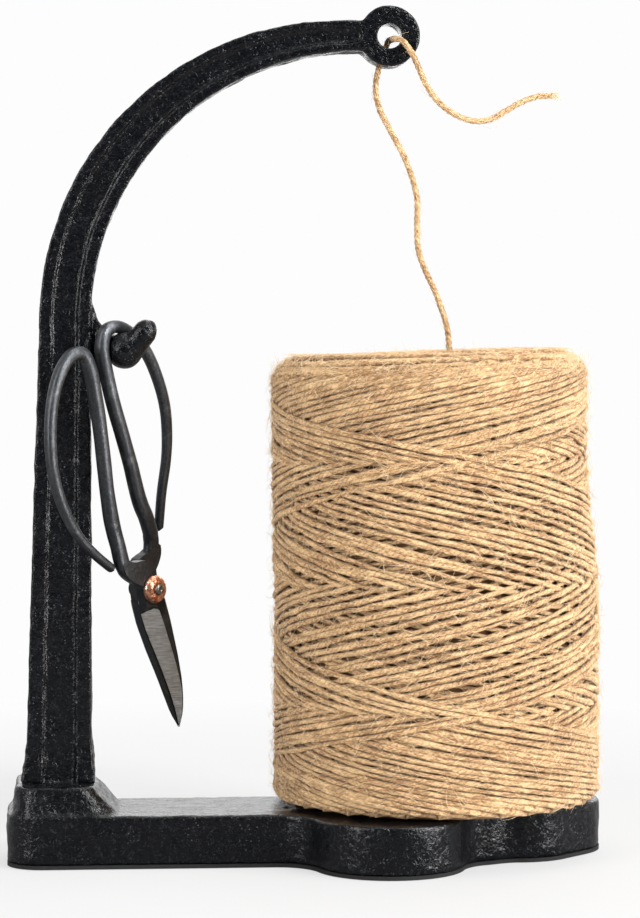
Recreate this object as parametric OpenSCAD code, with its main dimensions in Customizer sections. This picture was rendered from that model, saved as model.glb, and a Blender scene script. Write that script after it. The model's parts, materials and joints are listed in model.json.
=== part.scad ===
// String holder: a cast stand with an arched arm and eye, a package of jute twine, and hung scissors.
// Millimetres. The origin is on the table under the package's axis, +X points away from the post,
// +Y to the back and +Z up.

/* [Base] */
// Distance from the package's axis to the end of the bar under the post
base_left = 142.5; // [132:0.5:160]
// Depth of the bar, front to back
bar_depth = 40; // [36:1:46]
// How far the bar's centreline lies in front of the package's axis
bar_forward = 10.5; // [6:0.5:13]
// Thickness of the base casting
base_thickness = 15.8; // [13:0.2:22]
// Corner radius at the end of the bar
bar_corner = 12; // [6:1:16]
// Radius of the platform's round middle
platform_radius = 33.5; // [31:0.5:40]
// Radius of the platform's front and back lobes
lobe_radius = 24.6; // [20:0.2:28]
// Distance from the package's axis to the middle of the front and back lobes
lobe_out = 38; // [34:0.5:44]
// Radius of the platform's right lobe
right_lobe_radius = 20.6; // [17:0.2:24]
// Distance from the package's axis to the middle of the right lobe's far end
right_lobe_out = 33.6; // [28:0.2:40]
// How far the right lobe is drawn out towards the front lobe, on each axis
right_lobe_draw = 9; // [0:0.5:12]
// Radius of the hollow corners between lobes and bar
web_fillet = 14; // [6:1:20]
// Diameter of the low spigot that the package turns on
spigot_diameter = 33; // [24:0.5:38]
// Height of the spigot above the platform
spigot_height = 10; // [6:0.5:20]
// Thickness of the anti-slip sheet under the base
pad_thickness = 1.2; // [0.8:0.1:2.5]

/* [Collar] */
// Height of the collar around the foot of the post
collar_height = 9; // [6:0.5:14]
// Width of the collar's rim along the bar
collar_width = 26; // [25:0.5:32]
// Depth of the collar's rim
collar_depth = 34; // [26:0.5:36]
// How much wider the collar is at its bottom
collar_spread = 2; // [1:0.5:10]
// How far the collar's foot runs out towards the package
collar_toe = 7; // [3:0.5:10]
// How far the collar lies off the post's axis, away from the package
collar_shift = 0.8; // [0:0.1:1.4]
// Depth of the socket that the post stands in, below the rim
socket_depth = 13; // [9:0.5:16]

/* [Arm] */
// Distance from the end of the bar to the post's axis
post_inset = 16.6; // [15:0.2:22]
// Width of the post above its foot
post_width = 21.6; // [17:0.2:23]
// How far the post's axis leans towards the package at the top of the post
post_lean = 2.5; // [0:0.1:4]
// Height at which the post turns into the arch
spring_height = 175.5; // [172:0.5:196]
// Radius of the arch's centreline
arch_radius = 93; // [86:0.5:100]
// Width of the arm where the arch begins
spring_width = 16.6; // [13:0.2:18]
// Width of the arm at the top of the arch
crown_width = 9.8; // [8:0.2:14]
// Depth of the post and arch, front to back
arm_depth = 13; // [11:0.5:16]
// Depth of the long recessed panels, front and back
panel_depth = 1.2; // [0.5:0.1:2.4]
// Share of the arm's width that the panels take
panel_share = 0.5; // [0.3:0.02:0.6]
// Height of the flare at the foot of the post
flare_height = 11; // [6:0.5:18]
// How far the flare stands out on each side
flare_out = 1.1; // [0.6:0.1:2.2]
// Distance from the top of the arch to the middle of the eye
eye_out = 12.4; // [10:0.1:24]
// Outer diameter of the eye
eye_diameter = 19.8; // [17:0.2:24]
// Diameter of the hole in the eye
eye_hole = 8; // [7:0.5:10]
// Depth of the eye, front to back
eye_depth = 13; // [10:0.5:14]

/* [Hook] */
// Height of the middle of the hook's ball
hook_height = 166.4; // [150:0.2:170]
// Distance from the post's axis to the middle of the hook's ball
hook_out = 21.7; // [19:0.1:24]
// How far the hook's ball lies in front of the arm's middle
hook_forward = 5.9; // [4:0.1:8]
// Diameter of the hook's ball
hook_diameter = 9.8; // [8:0.2:10.6]
// Diameter of the neck between post and ball
hook_neck_diameter = 6.6; // [5.5:0.1:7]
// Diameter of the hook's tip
hook_tip_diameter = 5.4; // [3.6:0.2:5.8]
// How far the tip rises above the middle of the ball
hook_rise = 7.4; // [6:0.2:9]

/* [Fastener] */
// Thread diameter of the bolt that holds the arm
bolt_diameter = 6; // [5:0.5:8]
// Diameter of the bolt's head
bolt_head_diameter = 10; // [9:0.5:12]
// Height of the bolt's head
bolt_head_height = 5; // [3:0.5:6]
// Outer diameter of the washer under the bolt's head
washer_diameter = 12; // [11:0.5:14]
// Thickness of the washer under the bolt's head
washer_thickness = 1.6; // [1:0.1:2]
// Length of thread in the foot of the arm
bolt_grip = 20; // [12:1:30]

/* [Twine] */
// Outer diameter of the package over its winding
package_diameter = 106; // [96:0.5:112]
// Height of the package
package_height = 149.3; // [130:0.1:152]
// Diameter of the hollow in the middle of the package
package_bore = 34; // [34:0.5:44]
// Radius of the package's shoulder
package_shoulder = 8; // [4:0.5:12]
// Diameter of the twine
strand_diameter = 2; // [1.6:0.1:3]
// Turns in the outer layer of the winding
winding_turns = 24; // [8:1:24]

/* [Scissors] */
// Distance from the rivet to the tips
blade_length = 49.5; // [42:0.5:58]
// Thickness of each blade at the rivet
blade_thickness = 3.8; // [2.6:0.1:4.4]
// Thickness of each blade at its tip
blade_tip_thickness = 1.4; // [0.8:0.1:2]
// Diameter of the handle rod beside the rivet
rod_diameter = 4.7; // [4:0.1:5]
// Diameter of the handle rod at its free end
rod_end_diameter = 3; // [2.4:0.1:4]
// Angle that the scissors stand open at
gape = 0; // [0:0.5:12]
// Turn of the hung scissors about the vertical
scissors_yaw = 44; // [40:1:52]
// Tilt of the hung scissors in their own plane
scissors_tilt = 15.8; // [12:0.2:20]
// Diameter of the rivet
rivet_diameter = 3.5; // [2.4:0.1:4.2]
// Outer diameter of the copper washer
copper_washer_diameter = 9.3; // [8:0.1:11]
// Height of the domed copper washer
copper_washer_height = 2.5; // [1:0.1:3]
// Outer diameter of the washer at the back
back_washer_diameter = 6.4; // [6:0.1:9]
// Thickness of the washer at the back
back_washer_thickness = 1; // [0.6:0.1:1.4]

/* [Hidden] */
$fn = 64;

iron = [0.07, 0.07, 0.08];
dark_steel = [0.16, 0.17, 0.18];
bright_steel = [0.6, 0.6, 0.6];
jute = [0.70, 0.55, 0.36];
copper = [0.72, 0.40, 0.26];
rubber = [0.03, 0.03, 0.03];

// Small gap between pieces of one body that are fitted together
fit = 0.1;
// Radial gap of a shaft in its bore
running = 0.05;
// Gap between faces that slide past each other
slide_gap = 0.2;
// Overrun of a cut past the face that it opens
over = 1;

base_top = pad_thickness + base_thickness;
bar_y = -bar_forward;
// Angle of the front and back lobes from +X, and how far the right lobe's far end lies behind the package's axis
lobe_angle = 121;
right_lobe_back = 2.4;

post_x = post_inset - base_left;
rim_z = base_top + collar_height;
socket_floor = rim_z - socket_depth;
spring_x = post_x + post_lean;
crown_x = spring_x + arch_radius;
crown_z = spring_height + arch_radius;
eye_x = crown_x + eye_out;
// Width and depth of the tenon that stands in the socket
tenon_width = post_width - 2;
tenon_depth = arm_depth - 1;
// The panels begin at the collar's rim and end this far before the eye's rim
panel_stop = 1.5;
// Depth of the cut for a panel, which also opens the flare of the foot
panel_cut = panel_depth + flare_out + over;

// The hook: its neck's root in the post, its ball, and the finger that rises from the ball to the tip
hook_root = [post_x + 9.7, bar_y, hook_height + 0.6];
hook_ball = [post_x + hook_out, bar_y - hook_forward, hook_height];
finger_root = hook_ball + [2.6, -1.1, 1];
finger_tip = hook_ball + [7.8, -2.4, hook_rise];
finger_root_diameter = hook_tip_diameter + 1.2;
// Outline of the gusset between post and hook, from the post's axis and the ball's height, and its depth
gusset_points = [[9.5, 20], [12, 13.6], [14.3, 7], [15.6, 3.6], [15.6, -3.2], [13.2, -6.2], [9.5, -9.4]];
gusset_depth = 8;
// The thin rib from the gusset to the ball, above the neck
rib_root = hook_root + [0, 0, 5];
rib_end = hook_ball + [-1.3, 0.8, 1.8];
rib_diameter = 4.6;

bolt_hole = bolt_diameter + 0.6;
bolt_recess = washer_diameter + 1;
bolt_head_top = socket_floor - 3 - washer_thickness;

// The winding lies on the core with a small gap, also at the middle of its chords
rings_per_turn = 24;
winding_gap = 0.1;
core_radius = package_diameter / 2 - strand_diameter - 2 * winding_gap - 0.45;
winding_radius = (core_radius + strand_diameter / 2 + winding_gap) / cos(180 / rings_per_turn);
package_z = base_top + slide_gap;
package_top = package_z + package_height;
winding_start_z = package_z + 9;
winding_pitch = (package_height - package_shoulder - 18) / winding_turns;
winding_sides = 6;
// Where each end of the winding dives into the package
dive_radius = 2 * strand_diameter;
dive_steps = 4;
dive_depth = dive_radius + strand_diameter;
core_round = 5;

// Route of the twine that leaves the package's hollow, passes the eye from behind and ends in the air
lead_points = [
    [16.6, 0, 150], [12, 0, 150], [8, 0, 151.5], [5, 0, 155.5], [4, 0, 161], [3.4, 0, 167], [2.8, 0, 173],
    [1.2, 0, 179], [-1.4, 0, 186], [-4.7, 0, 193], [-7, 0, 200], [-7.4, 0, 208], [-7.4, -0.3, 216],
    [-9, -0.6, 223], [-12.1, -0.9, 231], [-16.2, -1, 238.5], [-20, -1, 246], [-21.3, -1, 253],
    [-20.2, -1, 259.5], [-18.6, -1.2, 263.5], [-17.8, -3.4, 266.9], [-17.4, -7, 267.8],
    [-17, -12, 267.6], [-16.4, -16.6, 267.4], [-14.2, -20, 266.3], [-11.4, -20.8, 262.6],
    [-8.9, -20.2, 257.5], [-6.6, -19.4, 252.5], [-3.2, -18.6, 247.8], [1, -18, 244.2], [5.6, -18, 241.8],
    [10.4, -18, 240.8], [15.4, -18, 241.8], [20.4, -18, 244.6], [25.4, -18, 247.4], [30.2, -18, 248.9],
    [35, -18, 249.2],
];
lead_sides = 8;

// Middle line of each handle, [sideways, along], from beside the rivet round the loop to the rod's free end,
// both drawn on the right
back_points = [
    [8.7, 13.1], [8.1, 17], [6.8, 22.4], [5.4, 28.8], [4.8, 41.4], [3.8, 52.4], [2.8, 63.4], [2.5, 73.4],
    [2.9, 80.9], [5.8, 85.6], [10.8, 86.1], [16.8, 82], [21.8, 74.4], [24.4, 64.9], [25.2, 55.4], [24.2, 46.4],
    [21.6, 37.4], [17, 27.4], [12.6, 15.6],
];
front_points = [
    [9.5, 11.9], [8.6, 17.1], [8.3, 22.5], [8.3, 27.9], [7.5, 36.9], [6.4, 45.4], [5.4, 53.4], [4.6, 61.4],
    [4.1, 69.4], [4.1, 76.4], [5.8, 81.6], [10.2, 82.6], [15.6, 79.6], [20.6, 73.8], [24.8, 65.4], [27.6, 55.4],
    [28.5, 45.4], [27.4, 35.4], [24.4, 26.2], [19.6, 18.6], [13.2, 10.9],
];
handle_steps = 2;
handle_sides = 14;
back_line = smooth_line(back_points, handle_steps);
front_line = smooth_line(front_points, handle_steps);
// The rod thins over the outer limb, from this share of its line on
taper_from = 0.45;

// Half thickness of the pair of blades, and where each layer on the rivet begins
blade_gap = slide_gap / 2;
blade_back = blade_gap + blade_thickness;
copper_y = blade_back + fit;
rivet_bore = rivet_diameter + 2 * running;
edge_thickness = 0.3;
// The rod begins in its half's own layer, comes back to the pair's middle over its first points, and its free
// end turns to its own layer again
shank_shift = 0.42 * blade_thickness;
shank_points = 2;
end_points = 4;
// Outline of each half's flat, drawn with its handle on the right: below the shank, past the rivet, and back
plate_points = [
    [10.6, 14.4], [10.7, 11.4], [10.3, 9.5], [9.7, 7.8], [8.8, 6.4], [7.2, 4.7], [5.8, 3.5], [4.2, 2.1], [3.9, 0.4],
    [4.1, -1.6], [4.5, -4], [4.6, -7.8], [-4.9, -7.8], [-4.8, -6], [-4.5, -3.4], [-3.9, 1], [-3.4, 3.8],
    [-3, 5.6], [-2.6, 7.1], [-1.6, 9], [1, 10.2], [4.2, 10.6], [6, 11.4], [6.9, 14.4],
];
// A blade keeps its full thickness down to the first of these shares of its length, then thins to its tip
blade_reaches = [0.25, 0.6, 0.8];
// Outlines of the blades, [sideways, share of the blade's length]: the front blade's back is on the right
front_spine = [[4.8, 0.1], [5.1, 0.22], [5.6, 0.37], [6.1, 0.52], [6.1, 0.655], [5.2, 0.795], [4.4, 0.867]];
front_edge = [[2, 0.887], [1.2, 0.747], [-0.3, 0.578], [-2, 0.426], [-3.7, 0.275], [-4.4, 0.154], [-4.5, 0.1]];
front_ridge = [[4.6, 0.79], [4.9, 0.735], [4.5, 0.632], [3.4, 0.465], [2, 0.313], [1, 0.19]];
back_spine = [[-4.4, 0.1], [-4.1, 0.22], [-2.9, 0.42], [-1.4, 0.592], [0, 0.772], [1.1, 0.9]];
back_edge = [[4, 0.867], [4.8, 0.795], [5.6, 0.655], [5.6, 0.52], [5, 0.37], [4.4, 0.2], [4.2, 0.1]];
back_ridge = [[1.4, 0.79], [1, 0.7], [0.6, 0.59], [0, 0.46], [-0.6, 0.31], [-0.8, 0.19]];
front_tip = [2.2, 1];
back_tip = [2.2, 0.99];

// The hung loop's highest point, over the hook's neck and just behind its ball
hang_point = hook_ball + [-2.8, 1, hook_diameter / 2 + rod_diameter / 2 + 0.45];
loop_lift = [for (p = back_line) p[0] * sin(scissors_tilt) + p[1] * cos(scissors_tilt)];
hang_local = [for (i = [0 : len(back_line) - 1]) if (loop_lift[i] == max(loop_lift)) back_line[i]][0];
hang_side = hang_local[0] * cos(scissors_tilt) - hang_local[1] * sin(scissors_tilt);
rivet_point = hang_point - [hang_side * cos(scissors_yaw), hang_side * sin(scissors_yaw), max(loop_lift)];

// A point on a smooth curve through four points, between the second and the third
function smooth_point(a, b, c, d, t) =
    0.5 * (2 * b + (c - a) * t + (2 * a - 5 * b + 4 * c - d) * t * t + (3 * b - a - 3 * c + d) * t * t * t);

// A smooth curve through all points, with some steps between each two
function smooth_line(points, steps) =
    let (last = len(points) - 1)
    [for (i = [0 : last - 1]) for (k = [0 : steps - (i == last - 1 ? 0 : 1)])
        smooth_point(
            i == 0 ? 2 * points[0] - points[1] : points[i - 1], points[i], points[i + 1],
            i == last - 1 ? 2 * points[last] - points[last - 1] : points[i + 2], k / steps)];

function unit(v) = v / norm(v);

// Direction of a line of points at one of them
function heading(points, i) =
    let (last = len(points) - 1)
    i == 0 ? unit(points[1] - points[0])
    : i == last ? unit(points[last] - points[last - 1])
    : unit(unit(points[i + 1] - points[i]) + unit(points[i] - points[i - 1]));

// Side vectors that follow a line of points without twisting
function carry_sides(points, first, i = 0, made = []) =
    i == len(points) ? made
    : let (
        ahead = heading(points, i),
        before = i == 0 ? first : made[i - 1],
        side = unit(before - (before * ahead) * ahead)
    ) carry_sides(points, first, i + 1, concat(made, [side]));

// A closed tube of flat triangles along a line of points, with a radius for each point
module tube(points, radii, sides, first_side) {
    count = len(points);
    side_vectors = carry_sides(points, first_side);
    corners = [for (i = [0 : count - 1]) let (ahead = heading(points, i), up = cross(ahead, side_vectors[i]))
        for (k = [0 : sides - 1])
            points[i] + radii[i] * (cos(360 * k / sides) * side_vectors[i] + sin(360 * k / sides) * up)];
    walls = [for (i = [0 : count - 2]) for (k = [0 : sides - 1])
        let (a = i * sides + k, b = i * sides + (k + 1) % sides, c = a + sides, d = b + sides)
        each [[a, c, b], [b, c, d]]];
    first_cap = [for (k = [1 : sides - 2]) [0, k, k + 1]];
    last_start = (count - 1) * sides;
    last_cap = [for (k = [1 : sides - 2]) [last_start, last_start + k + 1, last_start + k]];
    polyhedron(corners, concat(walls, first_cap, last_cap));
}

// Places a flat outline of the arm, drawn in X and Z, with a depth in Y
module upright(depth) {
    translate([0, bar_y, 0])
        rotate([90, 0, 0])
            linear_extrude(depth, center = true)
                children();
}

function lobe(out, angle) = [out * cos(angle), out * sin(angle)];

// Outline of the base from above: the bar, the round middle and three lobes, with hollow corners filled
module base_plan() {
    offset(r = -web_fillet)
        offset(delta = web_fillet) {
            circle(platform_radius);
            for (side = [-1, 1])
                translate(lobe(lobe_out, side * lobe_angle)) circle(lobe_radius);
            hull()
                for (drawn = [0, right_lobe_draw])
                    translate([right_lobe_out - drawn, right_lobe_back - drawn]) circle(right_lobe_radius);
            translate([-base_left, bar_y - bar_depth / 2]) rounded_end(base_left, bar_depth, bar_corner);
        }
}

// A bar outline with its two corners at X = 0 rounded
module rounded_end(length, width, corner) {
    translate([corner, 0]) square([length - corner, width]);
    translate([0, corner]) square([length, width - 2 * corner]);
    for (y = [corner, width - corner]) translate([corner, y]) circle(corner);
}

// A block with rounded upright edges, centred in plan
module rounded_block(width, depth, height, corner) {
    linear_extrude(height)
        hull()
            for (x = [-1, 1]) for (y = [-1, 1])
                translate([x * (width / 2 - corner), y * (depth / 2 - corner)]) circle(corner, $fn = 32);
}

module base_casting() {
    // Thickness of the thin slices that the collar is drawn between
    slice = 0.5;
    collar_corner = 8;
    color(iron)
        difference() {
            union() {
                translate([0, 0, pad_thickness]) linear_extrude(base_thickness) base_plan();
                translate([0, 0, base_top - over]) cylinder(d = spigot_diameter, h = spigot_height + over);
                translate([post_x - collar_shift, bar_y, 0])
                    hull() {
                        translate([collar_toe / 2, 0, base_top - slice])
                            rounded_block(collar_width + collar_spread + collar_toe,
                                collar_depth + bar_depth / 10, slice, collar_corner + collar_spread / 2);
                        translate([0, 0, rim_z - slice])
                            rounded_block(collar_width, collar_depth, slice, collar_corner);
                    }
            }
            translate([post_x, bar_y, socket_floor + socket_depth])
                cube([tenon_width + 2 * fit, tenon_depth + 2 * fit, 2 * socket_depth], center = true);
            translate([post_x, bar_y, 0]) cylinder(d = bolt_hole, h = rim_z);
            translate([post_x, bar_y, 0]) cylinder(d = bolt_recess, h = bolt_head_top + washer_thickness);
        }
}

module base_pad() {
    color(rubber)
        difference() {
            linear_extrude(pad_thickness) base_plan();
            translate([post_x, bar_y, -over]) cylinder(d = bolt_recess, h = pad_thickness + 2 * over);
        }
}

// The arch between two circles, which narrows from the post to the crown
module arch_outline(wide, narrow) {
    outer = arch_radius + narrow / 2;
    inner = arch_radius - narrow / 2;
    intersection() {
        difference() {
            translate([spring_x - wide / 2 + outer, spring_height]) circle(outer, $fn = 128);
            translate([spring_x + wide / 2 + inner, spring_height]) circle(inner, $fn = 128);
        }
        translate([spring_x - wide, spring_height]) square([arch_radius + wide, arch_radius + narrow]);
    }
}

// Outline of the whole arm without its eye and hook, as wide as share of the arm's own width
module arm_outline(share, low, end_x) {
    half_low = share * post_width / 2;
    half_spring = share * spring_width / 2;
    polygon([
        [post_x - half_low, low], [post_x + half_low, low],
        [spring_x + half_spring, spring_height], [spring_x - half_spring, spring_height],
    ]);
    arch_outline(share * spring_width, share * crown_width);
    translate([crown_x - over, crown_z - share * crown_width / 2])
        square([max(end_x - crown_x, 0) + over, share * crown_width]);
}

module arm_panel() {
    stop = max(eye_x - eye_diameter / 2 - panel_stop, crown_x);
    arm_outline(panel_share, rim_z, stop);
    translate([stop, crown_z]) circle(d = panel_share * crown_width);
}

module hook_bar(a, a_diameter, b, b_diameter) {
    hull() {
        translate(a) sphere(d = a_diameter, $fn = 24);
        translate(b) sphere(d = b_diameter, $fn = 24);
    }
}

module arm_foot() {
    slice = 0.5;
    translate([post_x, bar_y, 0]) {
        translate([-tenon_width / 2, -tenon_depth / 2, socket_floor])
            cube([tenon_width, tenon_depth, socket_depth + over]);
        hull() {
            translate([-post_width / 2 - flare_out, -arm_depth / 2 - flare_out, rim_z])
                cube([post_width + 2 * flare_out, arm_depth + 2 * flare_out, slice]);
            translate([-post_width / 2, -arm_depth / 2, rim_z + flare_height])
                cube([post_width, arm_depth, slice]);
        }
    }
}

module arm_casting() {
    color(iron)
        difference() {
            union() {
                arm_foot();
                upright(arm_depth) arm_outline(1, rim_z, eye_x);
                upright(eye_depth) translate([eye_x, crown_z]) circle(d = eye_diameter);
                upright(gusset_depth) translate([post_x, hook_height]) polygon(gusset_points);
                hook_bar(hook_root, hook_neck_diameter, hook_ball, hook_neck_diameter);
                hook_bar(rib_root, rib_diameter, rib_end, rib_diameter);
                hook_bar(hook_ball, hook_diameter, finger_root, finger_root_diameter);
                hook_bar(finger_root, finger_root_diameter, finger_tip, hook_tip_diameter);
            }
            for (side = [-1, 1])
                translate([0, side * (arm_depth / 2 - panel_depth + panel_cut / 2), 0])
                    upright(panel_cut) arm_panel();
            upright(eye_depth + 2 * over) translate([eye_x, crown_z]) circle(d = eye_hole);
            translate([post_x, bar_y, socket_floor - over])
                cylinder(d = bolt_diameter + fit / 5, h = bolt_grip + 2 * over);
        }
}

module arm_bolt() {
    color(bright_steel)
        translate([post_x, bar_y, bolt_head_top]) {
            cylinder(d = bolt_diameter, h = socket_floor + bolt_grip - bolt_head_top);
            difference() {
                translate([0, 0, -bolt_head_height]) cylinder(d = bolt_head_diameter, h = bolt_head_height);
                translate([0, 0, -bolt_head_height - over])
                    cylinder(d = bolt_diameter, h = bolt_head_height / 2 + over, $fn = 6);
            }
        }
}

module bolt_washer() {
    color(bright_steel)
        translate([post_x, bar_y, bolt_head_top])
            difference() {
                cylinder(d = washer_diameter, h = washer_thickness);
                translate([0, 0, -over]) cylinder(d = bolt_hole, h = washer_thickness + 2 * over);
            }
}

// Place on the winding's middle line at a turn, counted from its start
function winding_point(turn) =
    [winding_radius * cos(360 * turn), winding_radius * sin(360 * turn), winding_start_z + winding_pitch * turn];

// The quarter bend that takes an end of the winding straight into the package, from its tangent point inwards
function dive_line(turn, way) =
    let (
        begin = winding_point(turn),
        outward = [cos(360 * turn), sin(360 * turn), 0],
        along = way * [-sin(360 * turn), cos(360 * turn), 0]
    )
    concat(
        [for (k = [1 : dive_steps]) let (a = 90 * k / dive_steps)
            begin + dive_radius * (sin(a) * along - (1 - cos(a)) * outward)],
        [begin + dive_radius * along - dive_depth * outward]);

function reversed(list) = [for (i = [len(list) - 1 : -1 : 0]) list[i]];

winding_line = concat(
    reversed(dive_line(0, -1)),
    [for (i = [0 : rings_per_turn * winding_turns]) winding_point(i / rings_per_turn)],
    dive_line(winding_turns, 1));

// Least gap of the winding to itself, between points at least half a turn apart along it
half_turn = rings_per_turn / 2;
winding_self_gap = min([for (i = [0 : len(winding_line) - 1])
    for (j = [i + half_turn : min(i + 2 * rings_per_turn, len(winding_line) - 1)])
        norm(winding_line[i] - winding_line[j])]) - strand_diameter;
echo(winding_self_gap = winding_self_gap);

// The notch in the core where an end of the winding dives in
module dive_notch(turn, way) {
    room = strand_diameter + 2 * winding_gap + 0.4;
    length = dive_radius + strand_diameter + 2 * winding_gap;
    rotate([0, 0, 360 * turn])
        translate([winding_radius - dive_depth, way > 0 ? -over : over - length, winding_point(turn)[2] - room / 2])
            cube([dive_depth + strand_diameter, length, room]);
}

module twine_core() {
    bore = package_bore / 2;
    color(jute)
        difference() {
            rotate_extrude($fn = 96)
                translate([0, package_z]) core_profile(bore);
            dive_notch(0, -1);
            dive_notch(winding_turns, 1);
        }
}

// Half section of the package without its outer layer, with round shoulders
module core_profile(bore) {
    side_top = package_height - package_shoulder;
    side = core_radius - package_shoulder;
    translate([bore, 0]) square([core_radius - core_round - bore, package_height - package_shoulder]);
    translate([bore, core_round]) square([core_radius - bore, side_top - core_round]);
    translate([bore, side_top - over]) square([side - bore, package_shoulder + over]);
    intersection() {
        translate([side, side_top]) circle(package_shoulder);
        translate([side - over, side_top - over]) square(2 * package_shoulder);
    }
    intersection() {
        translate([core_radius - core_round, core_round]) circle(core_round);
        translate([core_radius - core_round, 0]) square(core_round);
    }
}

module twine_winding() {
    color(jute)
        tube(winding_line, [for (p = winding_line) strand_diameter / 2], winding_sides, [0, 0, 1]);
}

module twine_lead() {
    color(jute)
        tube(lead_points, [for (p = lead_points) strand_diameter / 2], lead_sides, [0, 1, 0]);
}

// Puts the scissors, drawn upright round the rivet with their front to -Y, on the hook
module hung() {
    translate(rivet_point) rotate([0, -scissors_tilt, scissors_yaw]) children();
}

// Extrudes an outline drawn sideways and along, from one depth to another
module layer(front, back) {
    translate([0, back, 0])
        rotate([90, 0, 0])
            linear_extrude(back - front)
                children();
}

function rod_radius(share) =
    share < taper_from ? rod_diameter / 2
    : (rod_diameter - (rod_diameter - rod_end_diameter) * (share - taper_from) / (1 - taper_from)) / 2;

// A handle rod on the right, round its loop; way is the side of the pair's middle that its shank lies on
module handle(line, way) {
    count = len(line);
    first = shank_points * handle_steps;
    last = end_points * handle_steps;
    tube(
        [for (i = [0 : count - 1])
            let (share = max(0, 1 - i / first, 1 - (count - 1 - i) / last))
            [line[i][0], way * shank_shift * share, line[i][1]]],
        [for (i = [0 : count - 1]) rod_radius(i / (count - 1))],
        handle_sides, [0, 1, 0]);
}

// Puts an outline's shares along the blade
function along_blade(points) = [for (p = points) [p[0], -p[1] * blade_length]];

// The points of an outline down to a share of the blade's length
function down_to(points, reach) = [for (p = points) if (p[1] <= reach) p];

function thickness_at(reach) =
    blade_thickness - (blade_thickness - blade_tip_thickness) * (reach - blade_reaches[0]) / (1 - blade_reaches[0]);

// A slab on one side of the pair's middle: way is -1 for the front and 1 for the back
module slab(way, thickness) {
    layer(way < 0 ? -blade_gap - thickness : blade_gap, way < 0 ? -blade_gap : blade_gap + thickness)
        children();
}

// A blade that is thick between its back and its ridge and ground down to its edge on the outer side
module blade(way, spine, edge, ridge, tip) {
    hull() {
        for (reach = blade_reaches)
            slab(way, thickness_at(reach))
                polygon(along_blade(concat(down_to(spine, reach), down_to(ridge, reach))));
        slab(way, edge_thickness)
            polygon(along_blade(concat(spine, [tip], edge)));
    }
}

module scissors_back_half() {
    color(dark_steel)
        hung() {
            difference() {
                slab(1, blade_thickness) polygon(plate_points);
                rotate([90, 0, 0]) cylinder(d = rivet_diameter + fit / 5, h = 4 * blade_back, center = true);
            }
            blade(1, back_spine, back_edge, back_ridge, back_tip);
            handle(back_line, 1);
        }
}

module scissors_front_half() {
    color(dark_steel)
        hung()
            rotate([0, -gape, 0]) {
                mirror([1, 0, 0]) {
                    difference() {
                        slab(-1, blade_thickness) polygon(plate_points);
                        rotate([90, 0, 0]) cylinder(d = rivet_bore, h = 4 * blade_back, center = true);
                    }
                    handle(front_line, -1);
                }
                blade(-1, front_spine, front_edge, front_ridge, front_tip);
            }
}

module scissors_rivet() {
    head_height = 0.9;
    head_diameter = rivet_diameter + 1.2;
    front = copper_y + copper_washer_height;
    back = blade_back + back_washer_thickness;
    color(bright_steel)
        hung()
            rotate([90, 0, 0]) {
                translate([0, 0, -back - head_height]) cylinder(d = rivet_diameter, h = back + front + 2 * head_height);
                translate([0, 0, -back - head_height]) cylinder(d = head_diameter, h = head_height);
            }
}

module copper_washer() {
    rim = 0.7;
    color(copper)
        hung()
            rotate([90, 0, 0])
                translate([0, 0, copper_y])
                    rotate_extrude()
                        polygon([
                            [rivet_bore / 2, 0], [copper_washer_diameter / 2, 0], [copper_washer_diameter / 2, rim],
                            [copper_washer_diameter * 0.38, copper_washer_height - 0.25],
                            [copper_washer_diameter * 0.28, copper_washer_height], [rivet_bore / 2, copper_washer_height],
                        ]);
}

module back_washer() {
    color(dark_steel)
        hung()
            rotate([90, 0, 0])
                translate([0, 0, -blade_back - back_washer_thickness])
                    difference() {
                        cylinder(d = back_washer_diameter, h = back_washer_thickness);
                        translate([0, 0, -over]) cylinder(d = rivet_bore, h = back_washer_thickness + 2 * over);
                    }
}

echo(rivet_point = rivet_point, hang_point = hang_point, eye = [eye_x, bar_y, crown_z]);

base_casting();
base_pad();
arm_casting();
arm_bolt();
bolt_washer();
twine_core();
twine_winding();
twine_lead();
scissors_back_half();
scissors_front_half();
scissors_rivet();
copper_washer();
back_washer();
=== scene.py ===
"""Looks of the string holder: cast stand, jute package, free twine and hung scissors.

Metres, in the CAD's frame. MM turns a length in millimetres into metres.
"""

import json
import math
import random

import bmesh
import bpy
import numpy as np
from mathutils import Matrix, Vector, noise


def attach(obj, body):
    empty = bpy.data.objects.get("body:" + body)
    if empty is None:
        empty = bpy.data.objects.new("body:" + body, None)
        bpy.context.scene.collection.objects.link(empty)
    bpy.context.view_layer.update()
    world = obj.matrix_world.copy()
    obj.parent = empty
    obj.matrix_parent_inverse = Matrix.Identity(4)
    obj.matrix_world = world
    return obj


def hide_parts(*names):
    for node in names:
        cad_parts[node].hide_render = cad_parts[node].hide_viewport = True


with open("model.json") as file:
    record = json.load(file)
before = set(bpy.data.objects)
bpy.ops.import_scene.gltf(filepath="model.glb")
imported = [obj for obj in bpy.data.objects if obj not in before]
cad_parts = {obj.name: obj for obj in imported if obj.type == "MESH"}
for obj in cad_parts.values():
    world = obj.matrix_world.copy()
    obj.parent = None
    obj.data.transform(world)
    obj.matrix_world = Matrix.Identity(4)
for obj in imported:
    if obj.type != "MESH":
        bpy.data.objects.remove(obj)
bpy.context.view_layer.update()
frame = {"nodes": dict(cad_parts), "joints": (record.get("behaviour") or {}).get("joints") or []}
joints = {joint["name"]: joint for joint in frame["joints"]}
scene = bpy.context.scene
scene.view_settings.view_transform = "Standard"
MM = 0.001


# Camera, at the photograph's place

CAMERA_TURN = math.radians(4)
CAMERA_DROP = math.radians(2.155)
CAMERA_PLACE = (-0.1068, -0.9609, 0.1667)
# Focal length and height of the photograph in pixels, and the camera's sensor in millimetres
PIXEL_FOCAL = 2910
IMAGE_HEIGHT = 918
SENSOR = 36

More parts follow.
